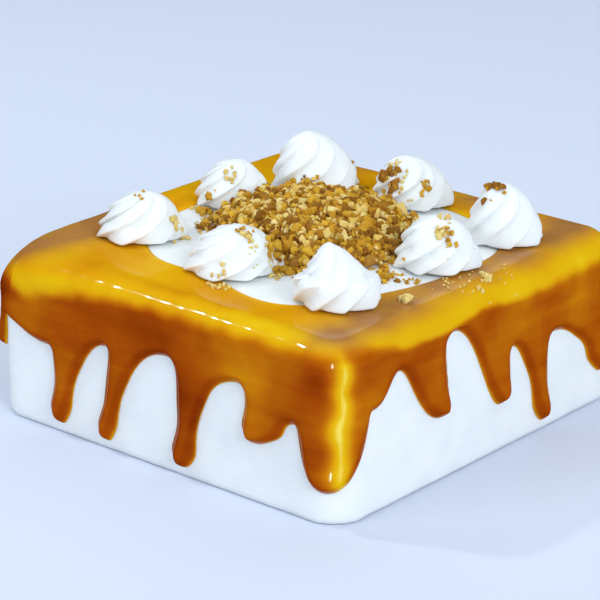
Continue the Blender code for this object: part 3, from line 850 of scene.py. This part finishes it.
# Where nuts have spilled on the rosettes and round them: the kind, the place, how far they are strewn,
# how many, and their usual size.
SPILLS = (
    ("brown", 4, 50, 4.5, 13, 3.8), ("golden", 6, 49, 6, 16, 2.2), ("pale", 12, 48, 5, 16, 1.5),
    ("golden", 20, 55, 3, 7, 2.2), ("pale", 4, 53, 5, 14, 1.4), ("golden", -22, 64, 5, 9, 1.6),
    ("golden", -14, 56, 4, 9, 2.0), ("pale", 74, -4, 2.5, 9, 2.4), ("golden", 77, -3, 3, 9, 1.9),
    ("pale", 70, 5, 4, 12, 1.3), ("brown", 67, 42, 4, 10, 2.6), ("golden", 69, 42, 5, 8, 1.8),
    ("pale", -38, -43, 4, 14, 2.3), ("pale", -49, 3, 4, 12, 1.8), ("golden", -51, -52, 3, 5, 1.2),
    ("pale", 15, -57, 3, 8, 2.2), ("golden", 13, -56, 4, 12, 1.5), ("pale", 20, -60, 3, 7, 1.2),
    ("pale", 16, -76, 5, 20, 1.6), ("golden", 24, -48, 5, 16, 3.2), ("pale", 26, -52, 6, 12, 1.9),
    ("golden", 60, -23, 5, 16, 2.6), ("brown", 64, -24, 5, 8, 1.8), ("golden", 69, -19, 6, 14, 1.5),
    ("pale", 84, -40, 2, 4, 3.6), ("pale", 91, 4, 2.5, 9, 2.0), ("pale", 95, -6, 3, 4, 1.6),
    ("pale", 88, -12, 12, 26, 1.0), ("pale", 92, 14, 9, 14, 0.9), ("golden", -54, -9, 5, 16, 2.8),
    ("pale", -57, -6, 5, 8, 1.8), ("golden", 44, 28, 9, 14, 2.0), ("pale", 40, 40, 10, 12, 1.4),
)
SPILL_SIZES = (0.6, 1.25)  # shares of that size
CRUMBS, CRUMB_REACH = 700, 1.2  # how many fine crumbs, and up to what share of the spill they lie
CRUMB_SIZES = (0.5 * MM, 1.3 * MM)
CRUMB_TOP = CAKE_HEIGHT + 8 * MM
CRUMB_SHADES = ((0.78, 0.56, 0.22), (0.5, 0.25, 0.05))


def nut_material(name, light, dark):
    """Chopped caramelised nut: a rough cut face with a thin shine of caramel, each piece its own shade."""
    material, wire, shader = new_material(name, {
        "Specular IOR Level": 0.3,
        "Specular Tint": (1, 0.85, 0.5, 1),
        "Subsurface Weight": 0.2,
        "Subsurface Scale": 1.5 * MM,
        "Subsurface Radius": (1, 0.6, 0.2),
    })
    place = wire.node("TexCoord", output="Object")
    tint = wire.node("Attribute", {"attribute_name": "tint"}, output="Fac")
    grain = wire.node("TexNoise", None, {"Vector": place, "Scale": 700, "Detail": 3, "Roughness": 0.6})
    tone = tint * 0.75 + grain * 0.4 - 0.05
    feed(shader, "Base Color", wire.node("ValToRGB", {"stops": ((0.1, light), (0.95, dark))}, {0: tone}))
    feed(shader, "Roughness", 0.3 + grain * 0.35)
    feed(shader, "Normal", wire.node("Bump", None, {"Strength": 0.4, "Distance": 0.3 * MM, "Height": grain}))
    return material


core_nuts = nut_material("heap core", *CORE_SHADES)
heap_core = fine_copy("heap_core", "nut_heap", core_nuts, CORE_VOXEL, CORE_SMOOTHING)
roughen(heap_core, CORE_PATCH, CORE_DEPTH)
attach(heap_core, "root")
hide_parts("nut_heap")


def chop(rng):
    """One chopped shape about 1 across, as its points and faces: a cube cut by a few random strokes, with
    its edges worn."""
    bpy.ops.object.select_all(action="DESELECT")
    bpy.ops.mesh.primitive_cube_add(size=1)
    bit = bpy.context.object
    bpy.ops.object.mode_set(mode="EDIT")
    for _ in range(CUTS):
        stroke = Vector([rng.uniform(-1, 1) for _ in range(3)]).normalized()
        place = stroke * rng.uniform(*CUT_PLACES)
        bpy.ops.mesh.select_all(action="SELECT")
        bpy.ops.mesh.bisect(plane_co=place, plane_no=stroke, use_fill=True, clear_outer=True)
    bpy.ops.mesh.select_all(action="SELECT")
    bpy.ops.mesh.remove_doubles(threshold=SHORTEST_CUT)
    bpy.ops.transform.resize(value=[rng.uniform(*stretch) for stretch in STRETCHES])
    bpy.ops.mesh.bevel(offset=WEAR, segments=1, affect="EDGES")
    bpy.ops.mesh.select_all(action="SELECT")
    bpy.ops.mesh.remove_doubles(threshold=SHORTEST_WORN)
    bpy.ops.object.mode_set(mode="OBJECT")
    points = [vert.co.copy() for vert in bit.data.vertices]
    faces = [tuple(polygon.vertices) for polygon in bit.data.polygons]
    bpy.data.objects.remove(bit, do_unlink=True)
    return points, faces


def surface_of(pieces):
    """A tree of the pieces' surfaces, for finding where a nut that falls on them comes to rest."""
    points, faces = [], []
    for piece in pieces:
        base = len(points)
        points += [vert.co for vert in piece.data.vertices]
        faces += [tuple(base + index for index in polygon.vertices) for polygon in piece.data.polygons]
    return BVHTree.FromPolygons(points, faces)


def landing(tree, place):
    """Where a nut that falls at this place lands, or None."""
    return tree.ray_cast(Vector((place.x, place.y, FALL_HEIGHT)), Vector((0, 0, -1)))[0]


def join_bits(name, bits, material):
    """Makes one piece of many bits, each a shape with its size, turn, place and shade."""
    points, faces, tints = [], [], []
    for (shape_points, shape_faces), size, angles, place, tint in bits:
        base = len(points)
        spin = Euler(angles).to_matrix() * size
        points += [place + spin @ point for point in shape_points]
        faces += [tuple(base + index for index in face) for face in shape_faces]
        tints += [tint] * len(shape_points)
    mesh = bpy.data.meshes.new(name)
    mesh.from_pydata(points, [], faces)
    mesh.attributes.new("tint", "FLOAT", "POINT").data.foreach_set("value", tints)
    piece = new_piece(name, mesh, material)
    pick(piece)
    bpy.ops.object.shade_smooth_by_angle(angle=CREASE)
    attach(piece, "root")


rng = random.Random(11)
shapes = [chop(rng) for _ in range(SHAPES)]
all_surfaces = surface_of([cream_block, poured_glaze, heap_core, *rosettes])


def heap_place(rng, reach):
    """A place in the heap, evenly spread out to this share of its spill, and its own share of it."""
    angle, share = rng.uniform(0, math.tau), reach * math.sqrt(rng.random())
    towards = Vector((math.cos(angle), math.sin(angle)))
    return HEAP_CENTRE + towards * rim_distance(HEAP_SPILL, angle) * share, share


def near_rosette(place):
    """Whether a rosette stands there."""
    return any((place - centre).length < radius * CLEARANCE for centre, radius, *_ in ROSETTES)


def rested(rng, rest, size, sunk):
    """A nut of this size at rest there, partly sunk between its neighbours, turned any way."""
    rest.z += size * (PERCH - sunk)
    return rng.choice(shapes), size, [rng.uniform(0, math.tau) for _ in range(3)], rest, rng.random()


for kind, (count, colours) in KINDS.items():
    bits = []
    while len(bits) < count:
        place, share = heap_place(rng, HEAP_END)
        rest = landing(all_surfaces, place)
        ragged = share + HEAP_RAGGEDNESS * noise.noise(Vector((*place, 0)) / RAGGED_SIZE)
        thin = rng.random() < smooth(HEAP_THINNING, HEAP_END, ragged)
        if thin or not rest or near_rosette(place):
            continue
        size = rng.triangular(*NUT_SIZES)
        bits.append(rested(rng, rest, size, rng.uniform(*NUT_SUNK)))
    for strewn, x, y, reach, number, usual in SPILLS:
        for _ in range(number if strewn == kind else 0):
            place = Vector((rng.gauss(x, reach / 2), rng.gauss(y, reach / 2))) * MM
            rest = landing(all_surfaces, place)
            if rest:
                bits.append(rested(rng, rest, usual * rng.uniform(*SPILL_SIZES) * MM, STREWN_SUNK))
    join_bits(f"nuts_{kind}", bits, nut_material(f"{kind} nut", *colours))

bits = []
while len(bits) < CRUMBS:
    place, share = heap_place(rng, CRUMB_REACH)
    rest = landing(all_surfaces, place)
    if share > HEAP_THINNING and rest and rest.z < CRUMB_TOP:
        bits.append(rested(rng, rest, rng.triangular(*CRUMB_SIZES), STREWN_SUNK))
join_bits("nut_crumbs", bits, nut_material("crumb", *CRUMB_SHADES))

# ----------------------------------------------------------------------------------------------------
# The studio: a pale floor, soft light from all round, a small window high on the left and a strip low in
# front, and a long lens that looks down on the cake's front right corner.

AZIMUTH, ELEVATION = math.radians(40.678), math.radians(18.995)
DISTANCE = 0.95911
TARGET = Vector((-0.016926, 0.013, 0.040))
LENS = 128.2
FLOOR_SIZE, FLOOR_GAP = 9, 0.3 * MM  # its width, and how far it lies below the cake
FLOOR_COLOUR = (0.69, 0.735, 0.86, 1)
LIGHT_COLOUR = (0.88, 0.95, 1)
SKY_COLOUR, SKY_STRENGTH = (0.82, 0.9, 1, 1), 0.2

bpy.ops.object.select_all(action="DESELECT")
bpy.ops.mesh.primitive_plane_add(size=FLOOR_SIZE, location=(0, 0, -FLOOR_GAP))
floor = bpy.context.object
floor.name = "floor"
bpy.ops.object.transform_apply(location=True)
pale_floor = new_material("pale floor", {"Base Color": FLOOR_COLOUR, "Specular IOR Level": 0})[0]
floor.data.materials.append(pale_floor)
floor.visible_glossy = False  # the glaze doesn't mirror the floor, which would grey its colour


def add_light(name, place, aim, size, watts, lights=True, mirrored=True):
    """A panel of light that faces its aim. It may only light the cake, or only be mirrored in the glaze."""
    light = bpy.data.lights.new(name, "AREA")
    light.shape = "RECTANGLE"
    light.size, light.size_y = size
    light.energy = watts
    light.color = LIGHT_COLOUR
    lamp = bpy.data.objects.new(name, light)
    bpy.context.scene.collection.objects.link(lamp)
    lamp.location = place
    lamp.visible_diffuse = lights
    lamp.visible_glossy = mirrored
    lamp.rotation_euler = (Vector(aim) - Vector(place)).to_track_quat("-Z", "Y").to_euler()


add_light("ceiling", (-0.4, 0.7, 2.3), (-0.3, 0.5, 0), (4, 4), 48, mirrored=False)
add_light("window", (-1.05, -0.5, 1.25), (0, 0, 0.05), (0.08, 0.08), 5)
add_light("right fill", (3, -1.1, 1.55), (0, 0, 0.05), (1.8, 1.8), 87, mirrored=False)
add_light("left fill", (-1, -3.2, 1.55), (0, 0, 0.05), (1.8, 1.8), 43, mirrored=False)
add_light("strip", (0.75, -0.91, 0.28), (0, 0, 0.04), (0.03, 0.5), 6, lights=False)

world = bpy.data.worlds.new("soft light")
bpy.context.scene.world = world
world.use_nodes = True
sky = world.node_tree.nodes["Background"]
sky.inputs["Color"].default_value = SKY_COLOUR
sky.inputs["Strength"].default_value = SKY_STRENGTH
world.cycles_visibility.glossy = False  # the glaze doesn't mirror the sky either

camera = bpy.data.objects.new("camera", bpy.data.cameras.new("camera"))
bpy.context.scene.collection.objects.link(camera)
back = Vector((
    math.sin(AZIMUTH) * math.cos(ELEVATION), -math.cos(AZIMUTH) * math.cos(ELEVATION), math.sin(ELEVATION)
))
camera.location = TARGET + back * DISTANCE
camera.rotation_euler = (-back).to_track_quat("-Z", "Y").to_euler()
camera.data.lens = LENS
bpy.context.scene.camera = camera
bpy.context.scene.view_settings.view_transform = "Standard"
